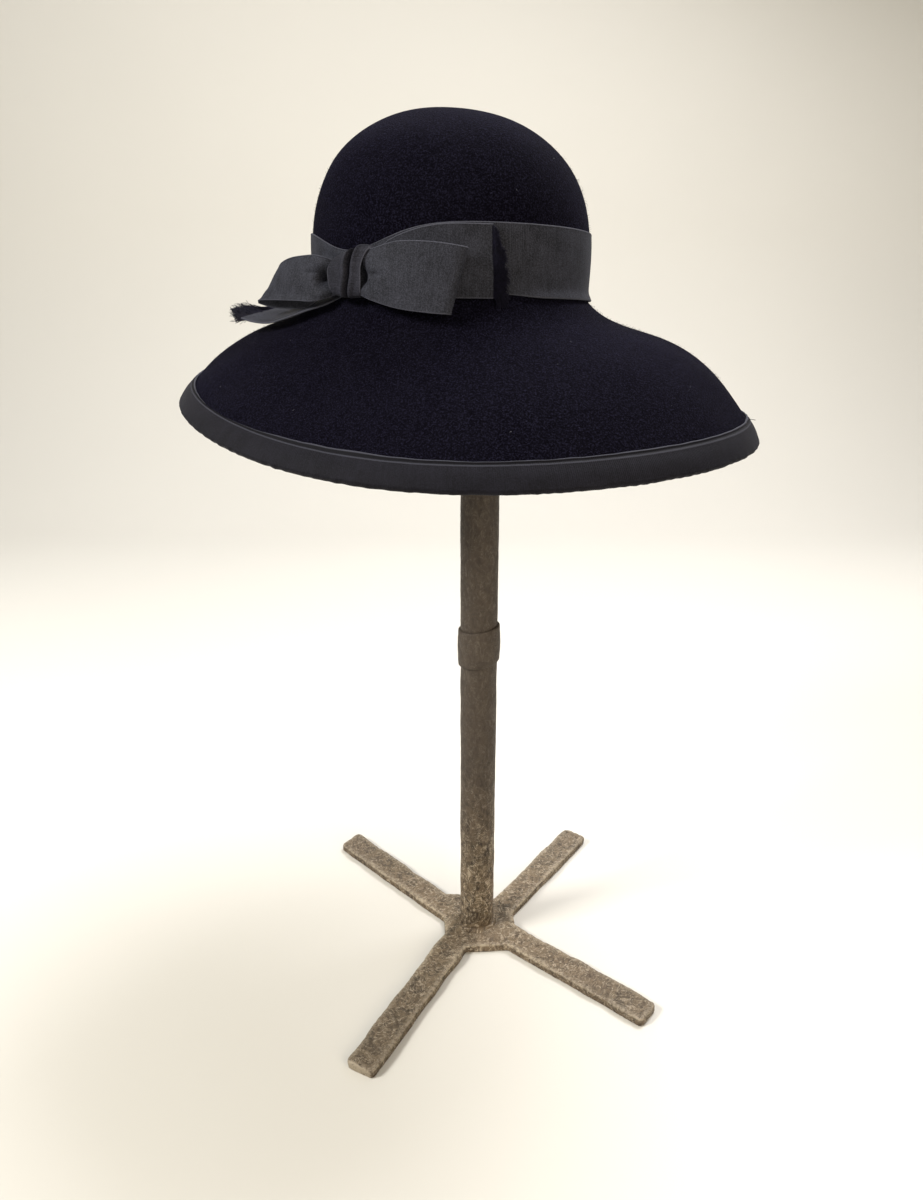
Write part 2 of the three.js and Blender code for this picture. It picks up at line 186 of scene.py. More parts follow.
def plane_waves(points, size, seed, count=14):
    """A smooth unevenness about 0, with a spread near 1: a sum of plane waves whose lengths
    lie near size and whose directions and phases are drawn from the seed."""
    draw = np.random.default_rng(seed)
    direction = draw.normal(size=(3, count))
    direction /= np.linalg.norm(direction, axis=0)
    number = 2 * math.pi / (size * draw.uniform(0.7, 1.5, count))
    phase = draw.uniform(0, 2 * math.pi, count)
    return np.sin(points @ (direction * number) + phase).sum(-1) / math.sqrt(count / 2)


def face_outward(mesh, weld=0.0):
    """Joins the points that lie within weld of each other, and turns a closed mesh's faces
    outward where it came out inside out."""
    work = bmesh.new()
    work.from_mesh(mesh)
    if weld:
        bmesh.ops.remove_doubles(work, verts=work.verts, dist=weld)
    if work.calc_volume(signed=True) < 0:
        bmesh.ops.reverse_faces(work, faces=work.faces)
    work.to_mesh(mesh)
    work.free()


def surface(name, grid, rings=(False, False), strip_ends=False, cloth=None):
    """A skin over a grid of points, rows by columns: each point is joined to the next in its
    row and its column, and round again where rings says so. strip_ends closes the first and
    last row of a ribbon, whose section runs out on one face and back on the other. cloth is
    the grid's place on the flat cloth, with one more row or column where there is a ring."""
    rows, columns = grid.shape[:2]
    r = np.arange(rows - (not rings[0]))[:, None]
    c = np.arange(columns - (not rings[1]))[None, :]
    corners = [np.broadcast_arrays(r + i, c + j) for i, j in [(0, 0), (0, 1), (1, 1), (1, 0)]]
    faces = [np.stack([i.ravel(), j.ravel()], -1) for i, j in corners]
    faces = np.stack(faces, 1)
    if strip_ends:
        half = columns // 2
        j = np.arange(half - 1)
        first = np.stack([j + 1, j, 2 * half - 1 - j, 2 * half - 2 - j], 1)
        ends = [(0, first), (rows - 1, first[:, ::-1])]
        caps = [np.stack([np.full_like(at, row), at], -1) for row, at in ends]
        faces = np.concatenate([faces, *caps])
    index = faces[..., 0] % rows * columns + faces[..., 1] % columns
    mesh = bpy.data.meshes.new(name)
    mesh.from_pydata(grid.reshape(-1, 3).tolist(), [], index.tolist())
    if cloth is not None:
        flat = cloth[faces[..., 0], faces[..., 1]]
        mesh.uv_layers.new(name="cloth").data.foreach_set("uv", flat.ravel())
    face_outward(mesh, weld=1e-6)
    mesh.shade_smooth()
    mesh.set_sharp_from_angle(angle=math.radians(60))
    return mesh


def show(mesh, material):
    """Puts a mesh in the scene as an object at the origin, in one material."""
    mesh.materials.append(material)
    thing = bpy.data.objects.new(mesh.name, mesh)
    scene.collection.objects.link(thing)
    return thing


def colour(code):
    """An sRGB hex colour, as the linear values that shaders take."""
    parts = [int(code[i : i + 2], 16) / 255 for i in (1, 3, 5)]
    linear = [p / 12.92 if p <= 0.04045 else ((p + 0.055) / 1.055) ** 2.4 for p in parts]
    return (*linear, 1)


def node(tree, kind, inputs=(), out=None, **settings):
    """Adds a node, with its settings, and fills its sockets with values or with links. Gives
    back the output that out names, or else the first one that is in use."""
    made = tree.nodes.new("ShaderNode" + kind)
    for key, value in settings.items():
        setattr(made, key, value)
    for socket, value in dict(inputs).items():
        if isinstance(value, bpy.types.NodeSocket):
            tree.links.new(value, made.inputs[socket])
        else:
            made.inputs[socket].default_value = value
    if out is not None:
        return made.outputs[out]
    return next((socket for socket in made.outputs if socket.enabled), made)


def new_material(name, look, *settings):
    """A new material with one principled surface. look adds the nodes of its pattern, which
    starts from the object's own coordinates, and says what the surface's sockets take."""
    material = bpy.data.materials.new(name)
    material.use_nodes = True
    tree = material.node_tree
    tree.nodes.clear()
    place = node(tree, "TexCoord", out="Object")
    finish = node(tree, "BsdfPrincipled", look(tree, place, *settings))
    node(tree, "OutputMaterial", {0: finish})
    return material


def brushed_wool_felt(tree, place):
    """Velour felt: matt fibres laid every way, so it is dark face on and paler where it is
    seen along the nap, with cloudy patches where the brush has turned it."""
    # patches 36 mm across, tufts 2.4 mm, and fibres 0.9 mm, coarser than wool so that they show
    patches = node(tree, "TexNoise", {"Vector": place, "Scale": 28, "Detail": 3, "Roughness": 0.6})
    tufts = node(tree, "TexNoise", {"Vector": place, "Scale": 420, "Detail": 4, "Roughness": 0.65})
    fibres = node(tree, "TexNoise", {"Vector": place, "Scale": 1100, "Detail": 2, "Roughness": 0.7})
    cloudy = node(tree, "MapRange", {"Value": patches, "From Min": 0.35, "From Max": 0.7})
    speck = node(tree, "MapRange", {"Value": fibres, "From Min": 0.47, "From Max": 0.66})
    tone = colour("#030207")
    for share, code in [(cloudy, "#06050b"), (speck, "#191825")]:
        tone = node(tree, "Mix", {0: share, 6: tone, 7: colour(code)}, data_type="RGBA")
    relief = node(tree, "Math", {0: fibres, 1: tufts}, operation="ADD")
    return {
        "Base Color": tone,
        "Roughness": 1.0,
        "Specular IOR Level": 0.03,
        "Sheen Weight": 0.09,
        "Sheen Roughness": 0.28,
        "Sheen Tint": colour("#5c5c86"),
        "Normal": node(tree, "Bump", {"Height": relief, "Strength": 0.7, "Distance": 0.0009}),
    }


def full_turn(count):
    """Even angles all the way round, the last one a step short of the first."""
    return np.linspace(0, 2 * math.pi, count, endpoint=False)


def crown_and_brim():
    """One closed shell: out along the outer face from the tip to the edge, and back along
    the inner face, at every bearing. A low unevenness is left from the blocking."""
    bearing = full_turn(288)
    outer = even_places(190)
    inner = even_places(64)[::-1]
    t = np.concatenate([outer, inner])[:, None]
    depth = np.concatenate([np.zeros(len(outer)), np.full(len(inner), FELT)])[:, None]
    smooth = felt_at(bearing, t, depth)
    swell = 0.3 * plane_waves(smooth, 60, 11) * np.clip(np.abs(t - 1) * 5 - 1.2, 0, 1)
    return surface(
        "felt_crown_and_brim", on_stand(felt_at(bearing, t, depth - swell)), (False, True)
    )


felt = new_material("brushed_wool_felt", brushed_wool_felt)
felt_body = show(crown_and_brim(), felt)
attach(felt_body, "root")
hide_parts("felt_body")


# ------------------------------------------------------------------- the brim's binding
# A navy grosgrain ribbon folded over the brim's edge and stitched through. Its woven edge
# carries a painted highlight, and so does a second line nearer the brim's edge, where a
# second layer begins; between the two lies a line of painted shade.
RIBBON = 38
CLOTH = 0.9
GAP = 0.3
BINDING = 15.6
SECOND_LAYER = 2.2


def back_from_edge(bearing, distance):
    """At each bearing, the places on the felt's line that lie these lengths from its edge:
    lengths are summed inward from the edge, and the place is read off between two sums."""
    t = np.linspace(2, 1.5, 401)
    line = felt_at(bearing[:, None], t)
    step = np.linalg.norm(np.diff(line, axis=1), axis=-1)
    length = np.pad(np.cumsum(step, axis=1), ((0, 0), (1, 0)))
    distance = np.atleast_2d(distance)
    after = (length[:, None, :] < distance[..., None]).sum(-1).clip(1, len(t) - 1)
    upto = np.take_along_axis(length, after, 1)
    since = np.take_along_axis(step, after - 1, 1)
    return t[after] + (upto - distance) / since * (t[0] - t[1])


def quarter_round(inset, radius):
    """0 at an edge and 1 a radius in from it: sqrt(1 - (1 - inset / radius) ** 2)."""
    return np.sqrt(1 - (1 - np.minimum(inset, radius) / radius) ** 2)


def flat_cloth(along, across):
    """A grid's places on the flat cloth, in metres: its rows lie along the cloth, and its
    columns run across it on one face, back on the other and round to the start."""
    across = np.concatenate([across, across[::-1], [0]])
    return np.stack(np.meshgrid(along, across, indexing="ij"), -1) * MM


def woven_ribbon(tree, place, ground, light, width, strip=0.0):
    """Grosgrain: fine warp over thick weft ribs that run from edge to edge, about nine to the
    centimetre. Its tone is mottled by wear, and the woven edges are a little paler and carry
    a painted highlight.

    Where strip is set, a second layer begins that far in from the first edge: the strip is a
    dark line of painted shade in the groove, and the layer's edge beside it carries its own
    painted highlight."""
    flat = node(tree, "UVMap", uv_map="cloth")
    along = node(tree, "SeparateXYZ", {0: flat}, out="X")
    across = along.node.outputs["Y"]
    # ribs, and streaks along them, 1.1 mm apart, coarser than they are so that they just show
    turns = node(tree, "Math", {0: along, 1: 2 * math.pi / (1.1 * MM)}, operation="MULTIPLY")
    rib = node(tree, "Math", {0: turns}, operation="SINE")
    drawn_out = node(tree, "Mapping", {"Vector": flat, "Scale": (900, 60, 1)})
    streak = node(tree, "TexNoise", {"Vector": drawn_out, "Scale": 1, "Detail": 3})
    # fuzz 0.7 mm across, and wear in blotches of 13 mm
    fuzz = node(tree, "TexNoise", {"Vector": place, "Scale": 1500, "Detail": 2})
    wear = node(tree, "TexNoise", {"Vector": place, "Scale": 75, "Detail": 5, "Roughness": 0.6})
    worn = node(tree, "MapRange", {"Value": wear, "From Min": 0.35, "From Max": 0.7})
    fine = node(tree, "Math", {0: streak, 1: 0.35, 2: fuzz}, operation="MULTIPLY_ADD")
    fine = node(tree, "MapRange", {"Value": fine, "From Min": 0.54, "From Max": 0.86})
    share = node(tree, "Math", {0: worn, 1: 0.5, 2: fine}, operation="MULTIPLY_ADD")
    share = node(tree, "Math", {0: share, 1: 0.67}, operation="MULTIPLY")
    # distance from the nearest woven edge, the second layer's among them, for the painted highlight
    far = node(tree, "Math", {0: width * MM, 1: across}, operation="SUBTRACT")
    near = node(tree, "Math", {0: across, 1: far}, operation="MINIMUM")
    if strip:
        layer = {0: across, 1: (strip + 0.35) * MM, 2: 0.6 * MM}
        layer = node(tree, "Math", layer, operation="COMPARE")
        layer = node(tree, "MapRange", {"Value": layer, "To Min": 1 * MM, "To Max": 0.6 * MM})
        near = node(tree, "Math", {0: near, 1: layer}, operation="MINIMUM")
    # a painted highlight along each woven edge, over the edges' own paler tone
    edge = {"Value": near, "From Min": 0.8 * MM, "From Max": 0.5 * MM, "To Max": 0.35}
    tones = [(share, light), (node(tree, "MapRange", edge), "#5c5d68")]
    # between the first edge and the second layer: a dark line of painted shade in the groove
    if strip:
        inside = {"Value": across, "From Min": 0.5 * MM, "From Max": 0.8 * MM}
        outside = {"Value": across, "From Min": (strip + 0.3) * MM, "From Max": strip * MM}
        dark = {0: node(tree, "MapRange", inside), 1: node(tree, "MapRange", outside)}
        tones.append((node(tree, "Math", dark, operation="MULTIPLY"), "#08070d"))
    tone = colour(ground)
    for share, code in tones:
        tone = node(tree, "Mix", {0: share, 6: tone, 7: colour(code)}, data_type="RGBA")
    relief = node(tree, "Math", {0: rib, 1: 0.22, 2: fuzz}, operation="MULTIPLY_ADD")
    return {
        "Base Color": tone,
        "Roughness": 0.72,
        "Specular IOR Level": 0.12,
        "Sheen Weight": 0.09,
        "Sheen Roughness": 0.3,
        "Sheen Tint": colour("#8d8f9c"),
        "Normal": node(tree, "Bump", {"Height": relief, "Strength": 0.45, "Distance": 0.0003}),
    }


def brim_binding():
    """A U-shaped section carried round the brim: up its top face, round the edge on half an
    oval and back beneath, then the same inside, one ribbon's thickness nearer the felt.

    The top face is a low round with a bead at its woven edge, a groove, and a second bead
    where a second layer begins. The stitching draws both edges in and out a little."""
    bearing = full_turn(760)
    close_set = [0, 0.15, 0.4, 0.7, 1.0, 1.5, 2.0, 2.2, 2.5, 2.9]
    top = np.array([*close_set, 4, 6, 8.5, 11, 13, 14.6, BINDING])
    under = np.array([BINDING, 12, 8, 4, 1.5, 0.5, 0.15, 0])
    arc = np.radians(np.linspace(82, -82, 11))
    bead = 0.28 * bell(top, 0.4, 0.35) + 0.3 * bell(top, SECOND_LAYER + 0.4, 0.4)
    groove = -0.3 * bell(top, 1.5, 0.5)
    round_edge = 1 - quarter_round(top, 0.5)
    lift = GAP + CLOTH + bead + groove - round_edge * CLOTH / 2
    lift = lift + 0.8 * np.sin(math.pi * top / BINDING)

    # each column of the section: length back from the edge, out past it, depth from the top
    middle = FELT / 2
    far = middle + GAP + CLOTH
    near = middle + GAP
    upper = BINDING - top
    lower = BINDING - under
    back = [upper, 0 * arc, lower, lower[::-1], 0 * arc, upper[::-1]]
    out = [0 * top, 1.5 * np.cos(arc), 0 * under, 0 * under, 0.5 * np.cos(arc), 0 * top]
    depth = [
        -lift,
        middle - far * np.sin(arc),
        FELT + far - middle - 0.3 * (under < 0.3),
        FELT + near - middle + 0.3 * (under[::-1] < 0.3),
        middle + near * np.sin(arc),
        -GAP - 0.4 * round_edge[::-1] * CLOTH,
    ]
    back, out, depth = (np.concatenate(part) for part in (back, out, depth))

    edge = felt_at(bearing, 2.0)
    waver = 0.6 * plane_waves(edge, 150, 3)[:, None] + 0.12 * plane_waves(edge, 14, 4)[:, None]
    t = back_from_edge(bearing, back + waver * (back / BINDING) ** 12)
    outward = unit(edge - felt_at(bearing, back_from_edge(bearing, np.array([1.0]))[:, 0]))
    # the ribbon is pulled in at each stitch, and stands off between two
    pull = plane_waves(edge, 5.5, 5)[:, None]
    ripple = plane_waves(edge, 9, 6)[:, None]
    free = bell(back, BINDING, 3)
    turned = np.clip(1 - back / 3, 0, 1)
    outer = (np.arange(len(back)) < len(back) / 2)[None, :]
    depth = depth - (0.06 * pull * turned + 0.08 * ripple * free) * outer
    out = out + 0.14 * pull * (out > 0)
    grid = felt_at(bearing[:, None], t, depth) + outward[:, None] * out[..., None]

    # across the flat cloth the top face has its true widths, and the rest is spread evenly
    across = np.linspace(0, RIBBON, len(back) // 2)
    across[: len(top)] = top
    along = lengths_along(np.concatenate([edge, edge[:1]]))
    cloth = flat_cloth(along, across)
    return surface("brim_binding_ribbon", on_stand(grid), (True, True), cloth=cloth), along[-1]


binding_mesh, brim_length = brim_binding()
# the lower edge is out of sight, so the width given lies beyond it, and the painted highlight
# falls only on the upper woven edge and the second layer's line
BEYOND = 60
navy_grosgrain = new_material(
    "navy_grosgrain", woven_ribbon, "#07060b", "#191820", BEYOND, SECOND_LAYER
)
brim_binding_ribbon = show(binding_mesh, navy_grosgrain)
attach(brim_binding_ribbon, "root")
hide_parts("brim_binding")


# ------------------------------------------------------------------------ the hat band
# The same make of ribbon, faded to a greyer navy, drawn round the crown above the brim and
# pulled together into gathers where the bow is tied over it.
BOW_BEARING = math.radians(-85)
BOW_RADIUS = 88
PULL_BACK = 38
PULL_FRONT = 35
FLARE_FROM = 94
FLARE_SPAN = 24
grey_grosgrain = new_material("grey_grosgrain", woven_ribbon, "#15161b", "#383942", RIBBON)


def normals(grid):
    """At each point of a grid, the direction square to its rows and columns."""
    return unit(np.cross(np.gradient(grid, axis=0), np.gradient(grid, axis=1)))


def ribbon_solid(middle, lengths):
    """A woven strip with thickness, from the grid of points at its middle: each point goes
    half the thickness to both sides along the surface's normal. Towards the two long edges
    it closes on a round, behind a slightly thicker bead."""
    share = ribbon_shares()
    inset = np.minimum(share, 1 - share) * RIBBON
    rounded = CLOTH / 2 * quarter_round(inset, CLOTH / 2)
    offset = (rounded + 0.13 * bell(inset, 0.7, 0.4)) * (inset > 0)
    offset = normals(middle) * offset[:, None]
    grid = np.concatenate([middle + offset, (middle - offset)[:, ::-1]], 1)
    return grid, flat_cloth(lengths, share * RIBBON)


def ribbon_shares():
    """Places across a ribbon, from its lower to its upper edge, close set at the edges."""
    edge = np.array([0, 0.003, 0.008, 0.014, 0.021, 0.03, 0.042])
    return np.concatenate([edge, np.linspace(0.065, 0.935, 32), 1 - edge[::-1]])


def hat_band():
    """A ribbon round the crown's wall: its edges draw together towards the knot, more above
    than below, and the cloth that is left over there stands up in gathers. Well away from
    the bow, its lower edge dips a little and stands off."""
    bearing = full_turn(384)
    turn = (bearing - BOW_BEARING + math.pi) % (2 * math.pi) - math.pi
    around = turn * BOW_RADIUS
    pinch = bell(around, 0, np.where(turn > 0, PULL_FRONT, PULL_BACK))[:, None]
    flare = np.clip((np.abs(around) - FLARE_FROM) / FLARE_SPAN, 0, 1)[:, None]
    flare = flare**2 * (3 - 2 * flare)
    low = 0.2 + 3 * pinch - 1.4 * flare
    high = 0.2 + RIBBON - 14 * pinch
    share = ribbon_shares()[None, :]
    height = low + (high - low) * share
    gathers = 0.5 + 0.5 * np.cos(2 * math.pi * (3.4 * share + 0.004 * around[:, None]))
    lift = GAP + 0.5 + 1.1 * gathers * pinch * np.sin(math.pi * share)
    lift = lift + 2.1 * flare * bell(height, -1.2, 3.6)
    out = wall_radius(bearing[:, None], height) + lift
    place = [out * np.cos(bearing[:, None]), out * np.sin(bearing[:, None]), height]
    middle = np.stack(place, -1) + CROWN_LEAN * (height[..., None] / CROWN_HEIGHT) ** 2
    middle[..., :2] *= 1 + 0.0008 * plane_waves(middle, 34, 21)[..., None]
    lengths = lengths_along(np.concatenate([middle[:, 0], middle[:1, 0]]))
    # two rows more at each end, so that the normals run on across the start
    grid, cloth = ribbon_solid(np.concatenate([middle[-2:], middle, middle[:2]]), lengths)
    mesh = surface("hat_band_ribbon", on_stand(grid[2:-2]), (True, True), cloth=cloth)
    return mesh, lengths[-1]


band_mesh, band_length = hat_band()
hat_band_ribbon = show(band_mesh, grey_grosgrain)
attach(hat_band_ribbon, "root")
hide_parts("hat_band")


# ------------------------------------------------------------------------ the bow's knot
# A short ribbon gathered and wrapped round the middle of the bow, sewn behind. One deep
# fold runs down it on the slant, and its upper end is rolled over to the front.
KNOT_CLOTH = 30
KNOT_GIRTH = 72
KNOT_MIDDLE = (1.4, 10.9, 7.3)
KNOT_HALF = (12, 13.1, 5.7)
KNOT_LEAN = 7


def on_crown(place):
    """Bow coordinates to the hat's frame. along runs round the crown's oval from the knot
    to the front, or straight on along its tangent to the back; height is up the dome's
    wall; lift is square out from the oval, less the tuck at the base."""
    along, height, lift = np.moveaxis(np.asarray(place, float), -1, 0)
    angle = BOW_BEARING + np.maximum(along, 0) / BOW_RADIUS
    share = np.maximum(height, 0) / CROWN_HEIGHT
    reach = np.sqrt(1 - share ** wave(fullness, angle))
    lift = lift - TUCK * bell(height, 0, TUCK_SPAN)
    normal = [np.cos(angle) / CROWN_LENGTH, np.sin(angle) / CROWN_WIDTH, 0 * angle]
    normal = unit(np.stack(normal, -1))
    tangent = np.stack([-normal[..., 1], normal[..., 0], 0 * angle], -1)
    oval = [CROWN_LENGTH * reach * np.cos(angle), CROWN_WIDTH * reach * np.sin(angle), height]
    return (
        np.stack(oval, -1)
        + CROWN_LEAN * share[..., None] ** 2
        + normal * lift[..., None]
        + tangent * np.minimum(along, 0)[..., None]
    )


def knot_wrap():
    """A flat-sided ring round the bow: height and lift follow sin and cos to the power 0.6.
    Its section swells in the middle and leans to the front at its top. From its foot to its
    upper front runs a crease, narrow below and wide above, and the wrap stands up rounded on
    both sides of it. The inner skin is the outer one drawn in by about the cloth."""
    around = full_turn(160)[None, :]
    side = np.linspace(-1, 1, 66)[:, None]
    rim = 1 - quarter_round(1 - np.abs(side), 0.07)
    up = np.sign(np.sin(around)) * np.abs(np.sin(around)) ** 0.6
    out = np.sign(np.cos(around)) * np.abs(np.cos(around)) ** 0.6
    top = np.maximum(up, 0)
    off = side - (0.08 + 0.27 * (1 + up - top) - 0.25 * top**2)
    fold = 1.3 * bell(off, -0.2, 0.13) - 5.6 * bell(off, 0, 0.065 + 0.05 * top)
    fold = (fold + 1.2 * bell(off, 0.3, 0.13)) * np.clip(out * 1.6, 0, 1)
    swell = 1 - 0.1 * side**2
    slant = 1 + 0.2 * side * (up > 0)
    rolled = 1.5 * top**3 * bell(side, 0.5, 0.5)
    half_width, half_height, half_depth = KNOT_HALF
    skins = []
    for inward, closing in ((0, -0.4), (CLOTH, 0.4)):
        body = (1 - inward / half_width) * swell
        along = side * (half_width - 1.4 * up**2) + KNOT_LEAN * top**2
        height = half_height * body * up * slant - 0.6 * side + rolled + closing * rim * up
        lift = half_depth * body * out + fold + closing * rim * out
        skins.append(np.stack(np.broadcast_arrays(along, height, lift), -1) + KNOT_MIDDLE)
    grid = on_crown(np.concatenate([skins[0], skins[1][::-1]]))
    girth = np.linspace(0, KNOT_GIRTH, 161)
    across = np.linspace(0, KNOT_CLOTH, 66)
    across = np.concatenate([across, across[::-1], [0]])
    cloth = np.stack(np.meshgrid(girth, across), -1) * MM
    return surface("bow_knot_wrap", on_stand(grid), (True, True), cloth=cloth)


knot_grosgrain = new_material("knot_grosgrain", woven_ribbon, "#121218", "#303039", KNOT_CLOTH)
bow_knot_wrap = show(knot_wrap(), knot_grosgrain)
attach(bow_knot_wrap, "root")
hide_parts("bow_knot")


# ----------------------------------------------------------------- the loops and tails
# Two loops and two tails of the grey ribbon, tied flat. The loops are pressed at their
# folds and open below, the front tail lies on the band, and the back one twists away.

# A row is one line across the ribbon: along, height and lift of its lower and upper edge.
front_loop_rows = [
    (3, 3, 4.9, 3, 15, 5),
    (9.9, 0, 8, 9.9, 23.8, 7),
    (20, -3.8, 12.8, 20, 24, 9.6),
    (34, -8, 14.2, 34, 27.2, 10.5),
    (49, -10.2, 15.5, 52, 26.8, 10.5),
    (59, -11, 15.6, 67, 24.6, 10.5),
    (60.5, -11, 14, 69, 24.2, 8.4),
    (58.5, -9.5, 12.2, 66.5, 24, 6.2),
    (48, -7, 9.6, 51, 25, 5),
    (33, -5, 7.8, 33, 25, 4.6),
    (20, -3, 5.4, 20, 21, 3.9),
    (9.9, 3, 3.5, 9.9, 17, 3.5),
    (3, 4, 3.5, 3, 15, 3.5),
]
back_loop_rows = [
    (-3, 3, 5.2, -3, 15, 5.2),
    (-9.9, 0, 5.6, -9.9, 18, 5.6),
    (-22, -4, 12.5, -20, 21.5, 10.5),
    (-36, -3.9, 14, -31, 21.8, 10.5),
    (-54, -3.5, 14, -46, 20.6, 10),
    (-72, -3.6, 12.5, -55, 17.8, 9),
    (-79, -4.3, 9.8, -60, 13.8, 7),
    (-73, -6.6, 7.6, -56, 15.6, 5.2),
    (-55, -8, 6.6, -46, 18.6, 4.6),
    (-36, -7, 6, -31, 20, 4.4),
    (-22, 0, 5, -20, 20, 4.2),
    (-9.9, 6, 3.8, -9.9, 17, 3.8),
    (-3, 6, 3.8, -3, 15, 3.8),
]
front_tail_rows = [
    (4, 3, 2.6, 4, 14, 2.6),
    (9.9, 2, 2.4, 9.9, 16, 2.4),
    (25, -0.6, 2.4, 25, 28, 2.4),
    (40, -1.8, 2.9, 40, 33.8, 2.4),
    (55, -2.1, 3, 55, 36.6, 2.4),
    (83.5, -2.1, 3, 83.5, 37, 2.4),
]
back_tail_rows = [
    (-4, 0, 2.9, -4, 4, 2.3),
    (-9.9, -1.6, 2.9, -9.9, 3.6, 2.1),
    (-20, -6, 7.4, -20, -0.6, 1.2),
    (-34, -9.4, 9.8, -34, -1.8, -2.2),
    (-50, -13.6, 11.8, -50, -4.2, -8.2),
    (-66, -16.6, 13, -67, -5.8, -12.6),
    (-80, -16, 14, -83, -6.4, -16.4),
    (-91, -14, 14.4, -96, -6.4, -19.6),
]


def through(points, count):
    """A smooth run of count points through the given ones: a centripetal Catmull-Rom curve,
    cubic between two points, whose slopes come from the next points on either side."""
    points = np.asarray(points, float)
    first = 2 * points[:1] - points[1:2]
    last = 2 * points[-1:] - points[-2:-1]
    points = np.concatenate([first, points, last])
    gap = np.linalg.norm(np.diff(points, axis=0), axis=1, keepdims=True) ** 0.5
    place = np.linspace(0, len(points) - 3, count)
    i = np.minimum(place.astype(int), len(points) - 4)
    w = (place - i)[:, None]
    p0, p1, p2, p3 = (points[i + k] for k in range(4))
    d0, d1, d2 = (gap[i + k] for k in range(3))
    slope1 = ((p1 - p0) / d0 - (p2 - p0) / (d0 + d1) + (p2 - p1) / d1) * d1
    slope2 = ((p2 - p1) / d1 - (p3 - p1) / (d1 + d2) + (p3 - p2) / d2) * d1
    cubic = 2 * p1 - 2 * p2 + slope1 + slope2
    square = -3 * p1 + 3 * p2 - 2 * slope1 - slope2
    return p1 + w * (slope1 + w * (square + w * cubic))


def dent(run, share, at, span, height, spread):
    """A rounded hollow, 1 at its middle: a bell along the ribbon times a bell across it."""
    return np.exp(-(((run - at) / span) ** 2) - ((share - height) / spread) ** 2)


def tied_ribbon(name, rows, count, relief):
    """A ribbon through the rows of a table: straight across between its two smoothed edges,
    then raised along its normal by relief, a function of run and share."""
    table = np.asarray(rows, float)
    low = on_crown(through(table[:, :3], count))
    high = on_crown(through(table[:, 3:], count))
    share = ribbon_shares()[None, :]
    middle = low[:, None] + (high - low)[:, None] * share[..., None]
    run = np.linspace(0, len(rows) - 1, count)[:, None]
    middle = middle + normals(middle) * relief(run, share)[..., None]
    lengths = lengths_along(middle[:, middle.shape[1] // 2])
    grid, cloth = ribbon_solid(middle, lengths)
    mesh = surface(name, on_stand(grid), (False, True), strip_ends=True, cloth=cloth)
    piece = show(mesh, grey_grosgrain)
    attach(piece, "root")
    return piece, lengths[-1] * MM


def front_loop_relief(run, share):
    """Puffed out between the knot and the fold, with one hollow beside the knot, a rounded
    pleat above and below it, and a short crease beyond it."""
    puff = 1.6 * np.sin(math.pi * share) * bell(run, 3, 1.3)
    low = 1.2 * dent(run, share, 1.5, 0.5, 0.12, 0.13)
    high = 2.6 * dent(run, share, 1.35, 0.35, 0.84, 0.12)
    crease = 1.5 * dent(run, share, 2.1, 0.3, 0.5, 0.05)
    return puff + low + high - crease - 5 * dent(run, share, 1.35, 0.3, 0.42, 0.15)


def back_loop_relief(run, share):
    """Puffed out towards its tip, with one oval hollow beside the knot between two pleats,
    a raised hem below, and a waist behind the tip."""
    puff = 1.4 * np.sin(math.pi * share) * bell(run, 3.2, 1.3)
    pleats = dent(run, share, 1.6, 0.5, 0.14, 0.12) + dent(run, share, 1.6, 0.5, 0.86, 0.14)
    hem = 1.3 * bell(share, 0, 0.09) * np.clip(run - 1.5, 0, 1) * np.clip(6 - run, 0, 1)
    crease = 1.2 * dent(run, share, 2.2, 0.4, 0.62, 0.05)
    hollow = 6.2 * dent(run, share, 1.6, 0.34, 0.5, 0.15)
    waist = 4.5 * dent(run, share, 6, 0.6, 0.36, 0.24)
    return hollow + crease + waist - puff - 1.8 * pleats - hem


def tail_relief(run, share):
    """A shallow wave along the ribbon."""
    return 0.25 * np.sin(1.7 * run) * np.sin(math.pi * share)


front_loop, length = tied_ribbon("bow_front_loop_ribbon", front_loop_rows, 150, front_loop_relief)
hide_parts("bow_front_loop")

back_loop, length = tied_ribbon("bow_back_loop_ribbon", back_loop_rows, 150, back_loop_relief)
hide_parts("bow_back_loop")

front_tail, front_length = tied_ribbon("bow_front_tail_ribbon", front_tail_rows, 80, tail_relief)
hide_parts("bow_front_tail")

back_tail, back_length = tied_ribbon("bow_back_tail_ribbon", back_tail_rows, 90, tail_relief)
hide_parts("bow_back_tail")


# ---------------------------------------------------------------------- the frayed ends
# Where the tails were cut, the weft has come away and left the dark warp threads loose.
# They are kinked from the weave, and droop and tangle at random.
def threads(name, paths, radius, material):
    """Thin square rods along paths, strand by strand: at each point four corners stand out
    along two directions square to the path. Both ends are closed."""
    strands, steps = paths.shape[:2]
    ahead = unit(np.gradient(paths, axis=1))
    side = unit(np.cross(ahead, [0.36, 0.48, 0.8]))
    other = np.cross(ahead, side)
    radius = np.broadcast_to(radius, paths.shape[:2])[..., None]
    corners = [side, other, -side, -other]
    grid = np.stack([paths + radius * corner for corner in corners], 2)
    start = (np.arange(strands) * steps * 4)[:, None, None]
    step = (np.arange(steps - 1) * 4)[None, :, None]
    j = np.arange(4)[None, None, :]
    k = (j + 1) % 4
    walls = [start + step + j, start + step + k, start + step + 4 + k, start + step + 4 + j]
    walls = np.stack(np.broadcast_arrays(*walls), -1).reshape(-1, 4)
    first = start[:, 0] + np.arange(4)[None, ::-1]
    last = start[:, 0] + (steps - 1) * 4 + np.arange(4)[None, :]
    mesh = bpy.data.meshes.new(name)
    faces = np.concatenate([walls, first, last])
    mesh.from_pydata(on_stand(grid).reshape(-1, 3).tolist(), [], faces.tolist())
    face_outward(mesh)
    return show(mesh, material)


